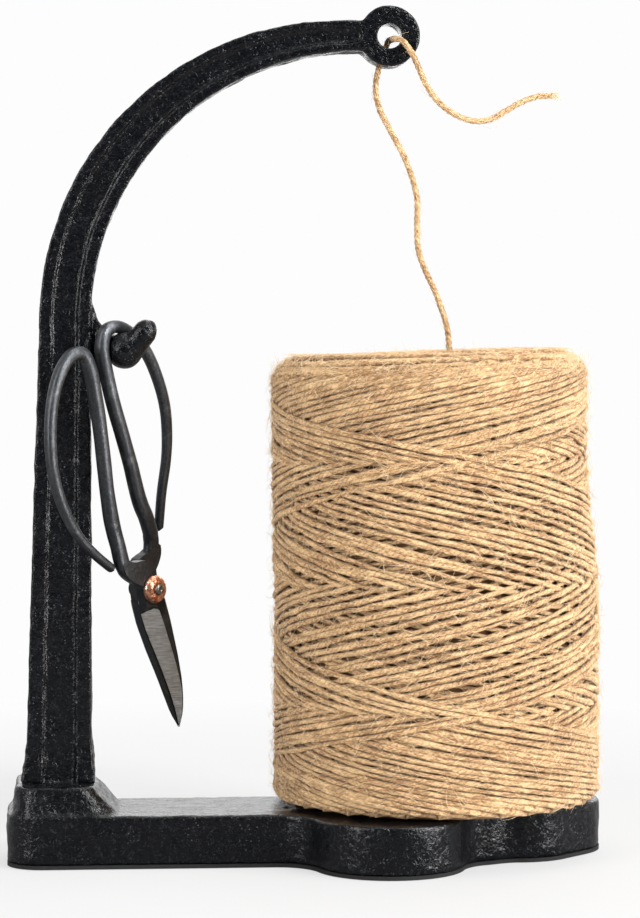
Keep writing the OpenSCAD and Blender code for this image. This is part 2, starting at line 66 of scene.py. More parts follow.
camera_data = bpy.data.cameras.new("camera")
camera_data.sensor_width = SENSOR
camera_data.lens = PIXEL_FOCAL / IMAGE_HEIGHT * SENSOR
camera = bpy.data.objects.new("camera", camera_data)
scene.collection.objects.link(camera)
camera.location = CAMERA_PLACE
looking = Vector((
    math.sin(CAMERA_TURN) * math.cos(CAMERA_DROP), math.cos(CAMERA_TURN) * math.cos(CAMERA_DROP),
    -math.sin(CAMERA_DROP)))
camera.rotation_mode = "QUATERNION"
camera.rotation_quaternion = looking.to_track_quat("-Z", "Y")
scene.camera = camera


# Materials

class Graph:
    """Nodes of a material or of the world, with short calls for those that are shared here."""

    def __init__(self, owner):
        self.owner = owner
        owner.use_nodes = True
        self.nodes = owner.node_tree.nodes
        self.links = owner.node_tree.links

    def node(self, kind, **settings):
        made = self.nodes.new(kind)
        for key, value in settings.items():
            setattr(made, key, value)
        return made

    def feed(self, socket, value):
        if isinstance(value, bpy.types.NodeSocket):
            self.links.new(value, socket)
        else:
            socket.default_value = value

    def place(self):
        return self.node("ShaderNodeTexCoord").outputs["Object"]

    def stretched(self, vector, scale):
        made = self.node("ShaderNodeMapping")
        self.feed(made.inputs["Vector"], vector)
        made.inputs["Scale"].default_value = scale
        return made.outputs["Vector"]

    def noise(self, vector, scale, detail, roughness, distortion=0.0):
        made = self.node("ShaderNodeTexNoise")
        self.feed(made.inputs["Vector"], vector)
        made.inputs["Scale"].default_value = scale
        made.inputs["Detail"].default_value = detail
        made.inputs["Roughness"].default_value = roughness
        made.inputs["Distortion"].default_value = distortion
        return made.outputs["Fac"]

    def cells(self, vector, scale):
        made = self.node("ShaderNodeTexVoronoi")
        self.feed(made.inputs["Vector"], vector)
        made.inputs["Scale"].default_value = scale
        return made.outputs["Distance"]

    def math(self, operation, *values, clamped=False):
        made = self.node("ShaderNodeMath", operation=operation, use_clamp=clamped)
        for socket, value in zip(made.inputs, values):
            self.feed(socket, value)
        return made.outputs[0]

    def ramp(self, source, stops):
        made = self.node("ShaderNodeValToRGB")
        self.feed(made.inputs["Fac"], source)
        elements = made.color_ramp.elements
        while len(elements) < len(stops):
            elements.new(0.5)
        for element, (position, value) in zip(elements, stops):
            element.position = position
            element.color = (*value, 1) if isinstance(value, tuple) else (value, value, value, 1)
        return made.outputs["Color"]

    def mix(self, factor, first, second):
        made = self.node("ShaderNodeMix", data_type="RGBA")
        self.feed(made.inputs["Factor"], factor)
        for socket, value in ((made.inputs["A"], first), (made.inputs["B"], second)):
            self.feed(socket, (*value, 1) if isinstance(value, tuple) else value)
        return made.outputs["Result"]

    def bump(self, height, strength, distance, normal=None):
        made = self.node("ShaderNodeBump")
        self.feed(made.inputs["Height"], height)
        made.inputs["Strength"].default_value = strength
        made.inputs["Distance"].default_value = distance
        if normal is not None:
            self.feed(made.inputs["Normal"], normal)
        return made.outputs["Normal"]

    def surface(self, color, roughness, normal=None, metallic=0.0, specular=0.5, sheen=0.0):
        """The finished material."""
        sockets = self.nodes["Principled BSDF"].inputs
        self.feed(sockets["Base Color"], color)
        self.feed(sockets["Roughness"], roughness)
        if normal is not None:
            self.feed(sockets["Normal"], normal)
        sockets["Metallic"].default_value = metallic
        sockets["Specular IOR Level"].default_value = specular
        sockets["Sheen Weight"].default_value = sheen
        return self.owner

    def glow(self, kind, strength):
        """A white light: an emission, or the world's background."""
        made = self.node(kind)
        made.inputs["Color"].default_value = (1, 1, 1, 1)
        self.feed(made.inputs["Strength"], strength)
        return made.outputs[0]

    def diffuse(self, shade):
        made = self.node("ShaderNodeBsdfDiffuse")
        made.inputs["Color"].default_value = (shade, shade, shade, 1)
        return made.outputs[0]

    def choice(self, factor, first, second):
        """The first shader where the factor is 0 and the second where it is 1."""
        made = self.node("ShaderNodeMixShader")
        for socket, value in zip(made.inputs, (factor, first, second)):
            self.feed(socket, value)
        return made.outputs[0]

    def parts(self, vector):
        made = self.node("ShaderNodeSeparateXYZ")
        self.feed(made.inputs[0], vector)
        return made.outputs

    def by_ray(self, lighting, mirrored, seen):
        """One shader to light the object, one for its gloss to mirror and one for the camera."""
        rays = self.node("ShaderNodeLightPath").outputs
        unseen = self.choice(rays["Is Glossy Ray"], lighting, mirrored)
        straight = self.math("MAXIMUM", rays["Is Camera Ray"], rays["Is Transmission Ray"])
        return self.choice(straight, unseen, seen)

    def show(self, output, shader):
        self.feed(self.nodes[output].inputs["Surface"], shader)


def material_graph(name):
    return Graph(bpy.data.materials.new(name))


def enamelled_iron():
    """Thick glossy black paint over a rough sand casting, wrinkled all over, with small glints painted into
    its colour as light specks.
    """
    graph = material_graph("enamelled_iron")
    place = graph.place()
    lumps = graph.noise(place, 150, 3, 0.5)
    wrinkles = graph.noise(place, 560, 3, 0.6, 1.2)
    grains = graph.noise(place, 1700, 2, 0.6)
    broad = graph.bump(lumps, 0.3, 0.0008)
    crossed = graph.bump(wrinkles, 0.55, 0.0006, broad)
    normal = graph.bump(grains, 0.3, 0.0002, crossed)
    # Painted glints: light specks in the colour that stand in for highlights, in patches and along the
    # edges
    specks = graph.ramp(graph.cells(place, 800), [(0.12, 1.0), (0.2, 0.0)])
    patches = graph.ramp(graph.noise(place, 110, 3, 0.6), [(0.5, 0.0), (0.64, 1.0)])
    painted_glints = graph.math("MULTIPLY", specks, patches)
    pointed = graph.node("ShaderNodeNewGeometry").outputs["Pointiness"]
    edges = graph.ramp(pointed, [(0.53, 0.0), (0.6, 1.0)])
    edge_glint_dots = graph.ramp(graph.noise(place, 760, 2, 0.6), [(0.5, 0.0), (0.62, 1.0)])
    wear_and_glints = graph.math("MAXIMUM", painted_glints, graph.math("MULTIPLY", edges, edge_glint_dots))
    paint = graph.ramp(graph.math("MULTIPLY", wrinkles, grains), [
        (0.14, (0.0014, 0.0016, 0.0022)), (0.3, (0.005, 0.0055, 0.0068)),
        (0.42, (0.018, 0.019, 0.022))])
    # Where the glints are painted, the colour is lightened towards a pale grey
    color = graph.mix(graph.math("MULTIPLY", wear_and_glints, 0.4), paint, (0.2, 0.21, 0.225))
    roughness = graph.ramp(lumps, [(0.3, 0.07), (0.7, 0.15)])
    return graph.surface(color, roughness, normal, specular=0.3)


def pad_rubber():
    graph = material_graph("pad_rubber")
    grain = graph.noise(graph.place(), 900, 2, 0.6)
    color = graph.ramp(grain, [(0.35, (0.006, 0.006, 0.006)), (0.7, (0.016, 0.016, 0.016))])
    roughness = graph.ramp(grain, [(0.3, 0.7), (0.7, 0.9)])
    return graph.surface(color, roughness, graph.bump(grain, 0.4, 0.0003))


# Height at which the scissors' handles begin to lighten
HANDLES_FROM = 95 * MM


def forged_steel():
    """Blue-grey satin of forged and blackened steel, with soft hammer marks and light wear."""
    graph = material_graph("forged_steel")
    place = graph.place()
    marks = graph.noise(place, 260, 2, 0.5)
    scale_grain = graph.noise(place, 1400, 3, 0.6)
    wear_and_glints = graph.ramp(graph.noise(place, 120, 4, 0.65), [(0.56, 0.0), (0.74, 1.0)])
    dark = graph.ramp(scale_grain, [(0.3, (0.05, 0.053, 0.058)), (0.75, (0.105, 0.11, 0.118))])
    color = graph.mix(wear_and_glints, dark, (0.2, 0.205, 0.215))
    # The blades and shanks are darker than the handles above them
    above_shanks = graph.math("SUBTRACT", graph.parts(place)["Z"], HANDLES_FROM)
    handled = graph.ramp(above_shanks, [(0.0, 0.0), (0.04, 1.0)])
    color = graph.mix(handled, graph.mix(0.55, color, (0.02, 0.021, 0.023)), color)
    normal = graph.bump(scale_grain, 0.3, 0.0002, graph.bump(marks, 0.35, 0.0007))
    roughness = graph.ramp(marks, [(0.3, 0.36), (0.7, 0.5)])
    return graph.surface(color, roughness, normal, metallic=0.85)


def ground_steel():
    """The polished bevel, with the cross lines that the grinding leaves."""
    graph = material_graph("ground_steel")
    lines = graph.noise(graph.stretched(graph.place(), (240, 240, 3600)), 1.0, 2, 0.6)
    stain = graph.noise(graph.place(), 320, 3, 0.6)
    grey = graph.ramp(lines, [(0.3, (0.37, 0.36, 0.34)), (0.7, (0.78, 0.75, 0.715))])
    color = graph.mix(graph.ramp(stain, [(0.45, 0.0), (0.8, 0.5)]), grey, (0.24, 0.21, 0.185))
    roughness = graph.ramp(lines, [(0.3, 0.3), (0.7, 0.44)])
    return graph.surface(color, roughness, graph.bump(lines, 0.25, 0.0002), metallic=1.0)


def bright_steel(name, low, high):
    graph = material_graph(name)
    grain = graph.noise(graph.place(), 1500, 3, 0.6)
    color = graph.ramp(grain, [(0.3, low), (0.7, high)])
    roughness = graph.ramp(grain, [(0.3, 0.28), (0.7, 0.45)])
    return graph.surface(color, roughness, graph.bump(grain, 0.25, 0.0002), metallic=1.0)


def hammered_copper():
    graph = material_graph("hammered_copper")
    place = graph.place()
    dents = graph.cells(place, 700)
    blotches = graph.noise(place, 620, 3, 0.6)
    color = graph.ramp(blotches, [
        (0.3, (0.28, 0.095, 0.055)), (0.5, (0.68, 0.3, 0.18)), (0.7, (0.95, 0.6, 0.44))])
    normal = graph.bump(graph.ramp(dents, [(0.0, 0.0), (0.6, 1.0)]), 0.45, 0.0005)
    roughness = graph.ramp(blotches, [(0.3, 0.42), (0.7, 0.26)])
    return graph.surface(color, roughness, normal, metallic=1.0)


def jute_strand(name, dark, light, flank_shade):
    """Three plies round each strand, each of fine fibres.

    The UV map runs in twists along the strand, and once round it from the outside. flank_shade is how far
    painted shade darkens the colour on a strand's flanks, where it lies against the next one.
    """
    graph = material_graph(name)
    coordinates = graph.node("ShaderNodeUVMap").outputs["UV"]
    along, round_it, _ = graph.parts(coordinates)
    # The plies are uneven, so their lines wander
    unevenness = graph.noise(graph.stretched(coordinates, (1.3, 3.0, 1.0)), 1.0, 2, 0.6)
    wandering = graph.math("MULTIPLY", unevenness, 0.5)
    turned = graph.math("ADD", graph.math("ADD", along, round_it), wandering)
    phase = graph.math("MULTIPLY", turned, 3.0)
    ply = graph.math("PINGPONG", phase, 0.5)
    # 0 in the middle of a ply and 0.5 between two plies
    height = graph.ramp(ply, [(0.0, 1.0), (0.5, 0.88)])
    groove_shade_mask = graph.ramp(graph.math("MULTIPLY", ply, 2.0), [(0.6, 0.0), (1.0, 1.0)])
    place = graph.place()
    fibres = graph.noise(graph.stretched(coordinates, (2.4, 9.0, 1.0)), 1.0, 3, 0.7, 0.8)
    threads = graph.noise(graph.stretched(place, (34, 34, 420)), 1.0, 3, 0.6)
    patches = graph.noise(place, 95, 4, 0.6)
    tone = graph.mix(graph.ramp(fibres, [(0.36, 0.0), (0.62, 1.0)]), dark, light)
    # Brown of the painted shade, in the grooves between plies and on the strands' flanks
    shade_brown = tuple(0.5 * part for part in dark)
    straw = tuple(min(1.0, 1.15 * part) for part in light)
    tone = graph.mix(graph.ramp(threads, [(0.5, 0.0), (0.7, 0.55)]), tone, straw)
    tone = graph.mix(graph.ramp(threads, [(0.3, 0.5), (0.46, 0.0)]), tone, dark)
    tone = graph.mix(graph.ramp(patches, [(0.54, 0.0), (0.74, 0.6)]), tone, (0.4, 0.19, 0.09))
    # Painted shade: the colour darkens to brown in the grooves between the plies, more in some patches
    depth = graph.math("MULTIPLY", groove_shade_mask, graph.ramp(patches, [(0.35, 0.15), (0.65, 0.75)]))
    color = graph.mix(depth, tone, shade_brown)
    hairs = graph.noise(graph.stretched(coordinates, (3.0, 13.0, 1.0)), 1.0, 2, 0.6, 2.0)
    color = graph.mix(graph.ramp(hairs, [(0.56, 0.0), (0.66, 0.85)]), color, straw)
    # Painted shade: the colour darkens on the strand's flanks, where it lies against the next one
    inward = graph.math("PINGPONG", round_it, 0.5)
    color = graph.mix(graph.ramp(inward, [(0.1, 0.0), (0.28, flank_shade)]), color, shade_brown)
    normal = graph.bump(height, 0.8, 0.0007)
    normal = graph.bump(fibres, 0.8, 0.0005, normal)
    normal = graph.bump(hairs, 0.8, 0.0004, normal)
    return graph.surface(color, 0.8, normal, specular=0.15, sheen=0.15)


def shaded_jute_body():
    """Depths of the package between its strands, coloured darker than the strands as painted shade in the
    gaps.
    """
    graph = material_graph("shaded_jute_body")
    lines = graph.noise(graph.stretched(graph.place(), (60, 60, 520)), 1.0, 3, 0.6)
    color = graph.ramp(lines, [(0.3, (0.12, 0.055, 0.02)), (0.7, (0.32, 0.17, 0.07))])
    return graph.surface(color, 0.9, graph.bump(lines, 0.8, 0.001))


def jute_fibre():
    graph = material_graph("jute_fibre")
    shade = graph.noise(graph.place(), 160, 2, 0.5)
    color = graph.ramp(shade, [(0.3, (0.72, 0.46, 0.22)), (0.6, (0.95, 0.76, 0.5))])
    return graph.surface(color, 0.75)


JUTE_DARK = (0.27, 0.125, 0.046)
JUTE_LIGHT = (0.91, 0.61, 0.325)

iron = enamelled_iron()
rubber = pad_rubber()
steel = forged_steel()
bevel_steel = ground_steel()
rivet_steel = bright_steel("rivet_steel", (0.12, 0.112, 0.1), (0.3, 0.28, 0.25))
bolt_steel = bright_steel("bolt_steel", (0.35, 0.35, 0.36), (0.58, 0.58, 0.59))
copper = hammered_copper()
jute = jute_strand("jute_strand", JUTE_DARK, JUTE_LIGHT, 0.6)
jute_free = jute_strand("jute_free", JUTE_DARK, JUTE_LIGHT, 0.0)
shaded_jute_inside = shaded_jute_body()
fibre = jute_fibre()


# Meshes

def add_piece(name, mesh, body, materials, replaced=()):
    """Puts a mesh in the scene as a piece that rides on a body."""
    piece = bpy.data.objects.new(name, mesh)
    scene.collection.objects.link(piece)
    for material in materials:
        mesh.materials.append(material)
    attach(piece, body)
    if replaced:
        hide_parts(*replaced)
    return piece


def smooth(mesh):
    mesh.polygons.foreach_set("use_smooth", [True] * len(mesh.polygons))
    mesh.update()
    return mesh


def mesh_from(name, points, faces):
    mesh = bpy.data.meshes.new(name)
    mesh.from_pydata([tuple(point) for point in points], [], [tuple(face) for face in faces])
    mesh.update()
    return mesh


def unit(rows):
    return rows / np.linalg.norm(rows, axis=-1, keepdims=True)


def distances(points):
    """Distance along a line at each of its points."""
    steps = np.linalg.norm(np.diff(points, axis=0), axis=1)
    return np.concatenate([[0], np.cumsum(steps)])


def headings(points):
    return unit(np.gradient(points, axis=0))


def carried_sides(points, first):
    """Side vectors that follow a line without twisting."""
    ahead = headings(points)
    sides = []
    side = np.array(first, float)
    for direction in ahead:
        side = side - side.dot(direction) * direction
        side = side / np.linalg.norm(side)
        sides.append(side)
    return np.array(sides)


def tube_arrays(points, sides, radii, count):
    """Corner points and faces of a tube. radii has one column per corner, or one column for all."""
    points = np.asarray(points, float)
    ahead = headings(points)
    side = unit(sides - np.sum(sides * ahead, axis=1, keepdims=True) * ahead)
    up = np.cross(ahead, side)
    angles = 2 * math.pi * np.arange(count) / count
    across = np.cos(angles)[None, :, None] * side[:, None, :]
    spread = across + np.sin(angles)[None, :, None] * up[:, None, :]
    corners = points[:, None, :] + np.asarray(radii)[:, :, None] * spread
    rings = len(points)
    index = np.arange(rings * count).reshape(rings, count)
    turned = np.roll(index, -1, axis=1)
    walls = np.stack([index[:-1], turned[:-1], turned[1:], index[1:]], axis=-1).reshape(-1, 4)
    return corners.reshape(-1, 3), walls, index


def tubes_mesh(name, lines, count, twist=None):
    """One mesh of several closed tubes. Each line is (points, sides, radii).

    twist is the length of one twist of the plies, for a mesh with a UV map.
    """
    corners, walls, caps, wall_uv = [], [], [], []
    offset = 0
    for points, sides, radii in lines:
        made, faces, index = tube_arrays(points, sides, radii, count)
        corners.append(made)
        walls.append(faces + offset)
        caps.append((index[0][::-1] + offset).tolist())
        caps.append((index[-1] + offset).tolist())
        if twist:
            along = distances(points) / twist
            start, low = np.meshgrid(along[:-1], np.arange(count) / count, indexing="ij")
            end = np.tile(along[1:, None], (1, count))
            high = low + 1 / count
            rows = np.stack([start, low, start, high, end, high, end, low], axis=-1)
            wall_uv.append(rows.reshape(-1))
        offset += len(made)
    faces = np.concatenate(walls).tolist() + caps
    mesh = bpy.data.meshes.new(name)
    mesh.from_pydata(np.concatenate(corners).tolist(), [], faces)
    if twist:
        layer = mesh.uv_layers.new(name="twist")
        flat = np.concatenate(wall_uv)
        rest = np.zeros(2 * len(mesh.loops) - len(flat))
        layer.data.foreach_set("uv", np.concatenate([flat, rest]).astype(np.float32))
    return smooth(mesh)


def lathe_mesh(name, profile, steps):
    """A closed ring of revolution about Z, from a closed profile of (radius, height)."""
    angles = 2 * math.pi * np.arange(steps) / steps
    rings = np.array([[(r * math.cos(a), r * math.sin(a), z) for r, z in profile] for a in angles])
    index = np.arange(steps * len(profile)).reshape(steps, len(profile))
    after = np.roll(index, -1, axis=0)
    faces = np.stack([index, after, np.roll(after, -1, axis=1), np.roll(index, -1, axis=1)], axis=-1)
    return smooth(mesh_from(name, rings.reshape(-1, 3), faces.reshape(-1, 4)))


def smooth_line(points, spacing):
    """A smooth curve through points, with its own points about a spacing apart."""
    points = np.asarray(points, float)
    before = np.vstack([2 * points[0] - points[1], points[:-1]])
    after = np.vstack([points[1:], 2 * points[-1] - points[-2]])
    made = []
    for i in range(len(points) - 1):
        a, b, c, d = before[i], points[i], points[i + 1], after[i + 1]
        steps = max(2, round(np.linalg.norm(c - b) / spacing))
        for k in range(steps):
            t = k / steps
            made.append(0.5 * (2 * b + (c - a) * t + (2 * a - 5 * b + 4 * c - d) * t ** 2
                               + (3 * b - a - 3 * c + d) * t ** 3))
    made.append(points[-1])
    return np.array(made)


# Scissors, drawn upright round the rivet with their front to -Y, then hung on the hook

RIVET_PLACE = Vector(joints["scissors_pivot"]["pos_m"])
SCISSORS_YAW = math.radians(44)
SCISSORS_TILT = math.radians(15.8)
HUNG = (Matrix.Translation(RIVET_PLACE) @ Matrix.Rotation(SCISSORS_YAW, 4, "Z")
        @ Matrix.Rotation(-SCISSORS_TILT, 4, "Y"))
BLADE_GAP = 0.1 * MM
BLADE_BACK = 3.9 * MM
# Thickness of the handles' rods in millimetres, at the shank and at the free end, and the share of a
# handle's points after which it thins
ROD = 4.7
ROD_END = 3.0
TAPER_FROM = 0.45

# Middle line of each handle in millimetres, [sideways, along], both drawn on the right
BACK_POINTS = [
    (8.7, 13.1), (8.1, 17), (6.8, 22.4), (5.4, 28.8), (4.8, 41.4), (3.8, 52.4), (2.8, 63.4), (2.5, 73.4),
    (2.9, 80.9), (5.8, 85.6), (10.8, 86.1), (16.8, 82), (21.8, 74.4), (24.4, 64.9), (25.2, 55.4),
    (24.2, 46.4), (21.6, 37.4), (17, 27.4), (12.6, 15.6),
]
FRONT_POINTS = [
    (9.5, 11.9), (8.6, 17.1), (8.3, 22.5), (8.3, 27.9), (7.5, 36.9), (6.4, 45.4), (5.4, 53.4), (4.6, 61.4),
    (4.1, 69.4), (4.1, 76.4), (5.8, 81.6), (10.2, 82.6), (15.6, 79.6), (20.6, 73.8), (24.8, 65.4),
    (27.6, 55.4), (28.5, 45.4), (27.4, 35.4), (24.4, 26.2), (19.6, 18.6), (13.2, 10.9),
]


def hung_points(points):
    """Places of a line of [sideways, along] on the hung scissors, close together."""
    line = smooth_line(np.array(points) * MM, 0.5 * MM)
    return np.array([HUNG @ Vector((side, 0, along)) for side, along in line])


# Axis of the scissors' swing on the hook, and the angles that the hook is kept clear at
swing = joints["scissors_swing"]
SWING_PLACE = Vector(swing["pos_m"])
SWING_AXIS = Vector(swing["axis"])
back_most, forward_most = swing["range_deg"]
SWING_ANGLES = (back_most, back_most / 2, 0, forward_most / 2, forward_most)


def swung_points(points):
    """Places of points on the scissors over their whole swing."""
    places = []
    for angle in SWING_ANGLES:
        turn = Matrix.Rotation(math.radians(angle), 4, SWING_AXIS)
        turn = Matrix.Translation(SWING_PLACE) @ turn @ Matrix.Translation(-SWING_PLACE)
        places += [turn @ Vector(point) for point in points]
    return np.array(places)


# Castings: the CAD shape with rounded edges and the lumps of a sand mould

HOOK_BALL = Vector((-104.2, -16.4, 166.4)) * MM
# How far the hook's rough surface stands out, and the least room that it leaves to the hung rod
HOOK_SWELLING = 1.1 * MM
HOOK_ROOM = 0.2 * MM
# The collar's lumps are higher than those elsewhere by this share
COLLAR = Vector((-125.9, -10.5, 22)) * MM
COLLAR_EXTRA = 1.6
# Distances up to which a place counts fully as the hook or the collar, and from which it doesn't
HOOK_CRISP = (11 * MM, 14 * MM)
HOOK_SWOLLEN = (10 * MM, 13 * MM)
COLLAR_ROUGH = (17 * MM, 24 * MM)


def nearness(spot, centre, full, none):
    """1 within a distance of a place and 0 beyond a longer one."""
    share = (none - (spot - centre).length) / (none - full)
    return min(1, max(0, share))


def remeshed(node, voxel, smoothing):
    """The CAD mesh in even small faces, smoothed by some rounds."""
    working = bpy.data.objects.new(node + "_working", frame["nodes"][node].data.copy())
    scene.collection.objects.link(working)
    remesh = working.modifiers.new("remesh", "REMESH")
    remesh.mode = "VOXEL"
    remesh.voxel_size = voxel
    relax = working.modifiers.new("relax", "SMOOTH")
    relax.factor = 0.5
    relax.iterations = smoothing
    finished = working.evaluated_get(bpy.context.evaluated_depsgraph_get())
    mesh = bpy.data.meshes.new_from_object(finished)
    bpy.data.objects.remove(working)
    return mesh


def hook_swelling(spot, reach, loop):
    """How far the hook's rough surface may stand out, clear of the rod that hangs on it."""
    nearest = np.sqrt(np.min(np.sum((loop - np.array(spot)) ** 2, axis=1)))
    return min(reach, max(0, nearest - 0.5 * ROD * MM - HOOK_ROOM))


def casting(node, voxel, smoothing, lump, lump_size):
    """A casting's piece, with lumps of some height and width."""
    loop = swung_points(hung_points(BACK_POINTS))
    mesh = remeshed(node, voxel, smoothing)
    # The thin hook is smoothed less, because it would shrink
    crisp = [vertex.co.copy() for vertex in remeshed(node, voxel, 2).vertices]
    mesh.materials.clear()
    moves = []
    for vertex, sharp in zip(mesh.vertices, crisp):
        spot = vertex.co.lerp(sharp, nearness(sharp, HOOK_BALL, *HOOK_CRISP))
        rough = 1 + COLLAR_EXTRA * nearness(spot, COLLAR, *COLLAR_ROUGH)
        hook = nearness(sharp, HOOK_BALL, *HOOK_SWOLLEN)
        height = noise.noise(spot / lump_size) + 0.45 * noise.noise(spot / (0.4 * lump_size))
        fine = 0.12 * noise.noise(spot / (0.18 * lump_size))
        out = (height * rough + fine * rough) * lump
        if hook > 0:
            swelling = hook_swelling(spot, HOOK_SWELLING + 0.5 * out, loop)
            out = hook * swelling + (1 - hook) * out
        moves.append(spot + vertex.normal * out)
    mesh.vertices.foreach_set("co", [part for spot in moves for part in spot])
    add_piece(node + "_look", smooth(mesh), "stand", [iron], [node])


casting("base_casting", 0.7 * MM, 14, 0.32 * MM, 8 * MM)
casting("arm_casting", 0.5 * MM, 14, 0.28 * MM, 7 * MM)

for node, material in (("base_pad", rubber), ("arm_bolt", bolt_steel), ("bolt_washer", bolt_steel)):
    data = frame["nodes"][node].data
    data.materials.clear()
    data.materials.append(material)


# Free twine

STRAND = 2 * MM
PLY_TWIST = 6 * MM
# Route in millimetres from the package's hollow through the eye to the free end
LEAD_POINTS = [
    (16.6, 0, 150), (12, 0, 150), (8, 0, 151.5), (5, 0, 155.5), (4, 0, 161), (3.4, 0, 167), (2.8, 0, 173),
    (1.2, 0, 179), (-1.4, 0, 186), (-4.7, 0, 193), (-7, 0, 200), (-7.4, 0, 208), (-7.4, -0.3, 216),
    (-9, -0.6, 223), (-12.1, -0.9, 231), (-16.2, -1, 238.5), (-20, -1, 246), (-21.3, -1, 253),
    (-20.2, -1, 259.5), (-18.6, -1.2, 263.5), (-17.8, -3.4, 266.9), (-17.4, -7, 267.8),
    (-17, -12, 267.6), (-16.4, -16.6, 267.4), (-14.2, -20, 266.3), (-11.4, -20.8, 262.6),
    (-8.9, -20.2, 257.5), (-6.6, -19.4, 252.5), (-3.2, -18.6, 247.8), (1, -18, 244.2), (5.6, -18, 241.8),
    (10.4, -18, 240.8), (15.4, -18, 241.8), (20.4, -18, 244.6), (25.4, -18, 247.4), (30.2, -18, 248.9),
    (35, -18, 249.2),
]


def ply_radii(points, radius, depth, count):
    """Radii of a three-ply section that turns along the line in step with the strand material."""
    along = distances(points) / PLY_TWIST
    round_it = np.arange(count) / count
    return radius * (1 + depth * np.cos(6 * math.pi * (along[:, None] + round_it[None, :])))


LEAD_SIDES = 18
lead_line = smooth_line(np.array(LEAD_POINTS) * MM, 0.5 * MM)
lead_sides = carried_sides(lead_line, (0, 1, 0))
lead_radii = ply_radii(lead_line, 0.47 * STRAND, 0.13, LEAD_SIDES)
lead_mesh = tubes_mesh(
    "twine_lead_look", [(lead_line, lead_sides, lead_radii)], LEAD_SIDES, PLY_TWIST)
lead = add_piece("twine_lead_look", lead_mesh, "stand", [jute_free], ["twine_lead"])


# Package: strands that run up and down its side in crossing bands, over a plain body

PACKAGE_LOW = 17.3 * MM
PACKAGE_HIGH = 166.3 * MM
SIDE_LOW = 53.3 * MM
SIDE_HIGH = 51.6 * MM
# The package sags to one side: its upper part is narrower and stands off the axis
LEAN_LOW = -0.8 * MM
LEAN_HIGH = -3.4 * MM
SAG_FROM = 80 * MM
SAG_TO = 135 * MM
# Its top falls towards the post, from this place on, by this share of the distance
SLOPE_FROM = 25 * MM
TOP_SLOPE = 0.036
SHOULDER = 7.5 * MM
FOOT = 5 * MM
BORE = 17.4 * MM
# Runs of the strand up the package, with as many down, and turns round it in each
PASSES = 32
TURNS_UP = 2 + 0.5 / PASSES
FIRST_ANGLE = math.radians(107)
# How far a strand moves out or in where it crosses others, and over how many of them it changes
LEVEL = 0.85 * MM
LEVEL_CHANGE = 0.8
PASS_POINTS = 420
# The strand climbs less near the ends, where it turns back
END_EASE = 0.2
STRAND_SIDES = 8


def sag(height):
    """0 on the package's lower part and 1 on its upper part, with a soft change between."""
    share = np.clip((height - SAG_FROM) / (SAG_TO - SAG_FROM), 0, 1)
    return share * share * (3 - 2 * share)


def side_radius(height):
    """Outer radius of the package at a height, with its round shoulder and foot."""
    radius = SIDE_LOW + (SIDE_HIGH - SIDE_LOW) * sag(height)
    above = np.clip(height - (PACKAGE_HIGH - SHOULDER), 0, SHOULDER)
    below = np.clip(PACKAGE_LOW + FOOT - height, 0, FOOT)
    radius = radius - SHOULDER + np.sqrt(np.maximum(SHOULDER ** 2 - above ** 2, 0))
    return radius - FOOT + np.sqrt(np.maximum(FOOT ** 2 - below ** 2, 0))


def leaning(points):
    """Moves points of the package sideways with its lean, and down with the slope of its top."""
    points = np.array(points, float)
    points[:, 0] += LEAN_LOW + (LEAN_HIGH - LEAN_LOW) * sag(points[:, 2])
    rise = np.clip((points[:, 2] - SAG_FROM) / (PACKAGE_HIGH - SAG_FROM), 0, 1)
    points[:, 2] -= TOP_SLOPE * rise * np.maximum(0, SLOPE_FROM - points[:, 0])
    return points


def layer_level(crossing, change):
    """1 where a strand lies over those that it crosses and -1 where it lies under, with soft changes."""
    over = np.minimum(crossing + 0.5, change - crossing)
    under = np.minimum(crossing - change, PASSES - 0.5 - crossing)
    return np.where(
        crossing < change, np.tanh(over / LEVEL_CHANGE), -np.tanh(under / LEVEL_CHANGE))


def wander(seed, count, reach, step):
    """Smooth random offsets along a strand."""
    return np.array([
        noise.noise(Vector((i / step, 7.13 * seed, 3.7))) for i in range(count)]) * reach


def pass_line(own, rising):
    """Middle line of one run of the strand from an end of the package to the other."""
    count = PASS_POINTS
    share = np.linspace(0, 1, count)
    climb = share - END_EASE * np.sin(2 * math.pi * share) / (2 * math.pi)
    low = PACKAGE_LOW + 1.6 * MM
    high = PACKAGE_HIGH - 2.4 * MM
    turn = 2 * math.pi * TURNS_UP
    start = FIRST_ANGLE + 2 * math.pi * own / PASSES
    if rising:
        height_share = climb
        angle = start + turn * share
        crossing = np.mod(own + 2 * TURNS_UP * PASSES * (share - 1) + 0.5, PASSES) - 0.5
        level = layer_level(crossing, own - 0.5)
    else:
        height_share = 1 - climb
        angle = start + turn + turn * share
        crossing = np.mod(own + 2 * TURNS_UP * PASSES * share + 0.5, PASSES) - 0.5
        level = layer_level(crossing, own + 0.5)
    seed = 2 * own + (0 if rising else 1)
    drift = wander(seed, count, 1.1 * MM, 33) + wander(seed + 90, count, 0.7 * MM, 8)
    height = low + (high - low) * height_share + drift * np.sin(math.pi * share)
    height = np.clip(height, low, high)
    radius = side_radius(height) - 0.5 * STRAND + LEVEL * level
    radius += wander(seed + 50, count, 0.6 * MM, 11)
    # Under the top's own strands
    radius -= 1.6 * MM * np.clip((height - PACKAGE_HIGH + 7 * MM) / (4 * MM), 0, 1)
    points = np.stack([radius * np.cos(angle), radius * np.sin(angle), height], axis=1)
    outward = np.stack([np.cos(angle), np.sin(angle), np.zeros(count)], axis=1)
    uneven = 0.94 + wander(seed + 130, count, 0.4, 18) + wander(seed + 170, count, 0.4, 3)
    thickness = 0.5 * STRAND * uneven
    return leaning(points), outward, thickness[:, None]


# Distance between the turns on the package's top, and points in each turn
CAP_PITCH = 0.9 * STRAND
CAP_TURN_POINTS = 90


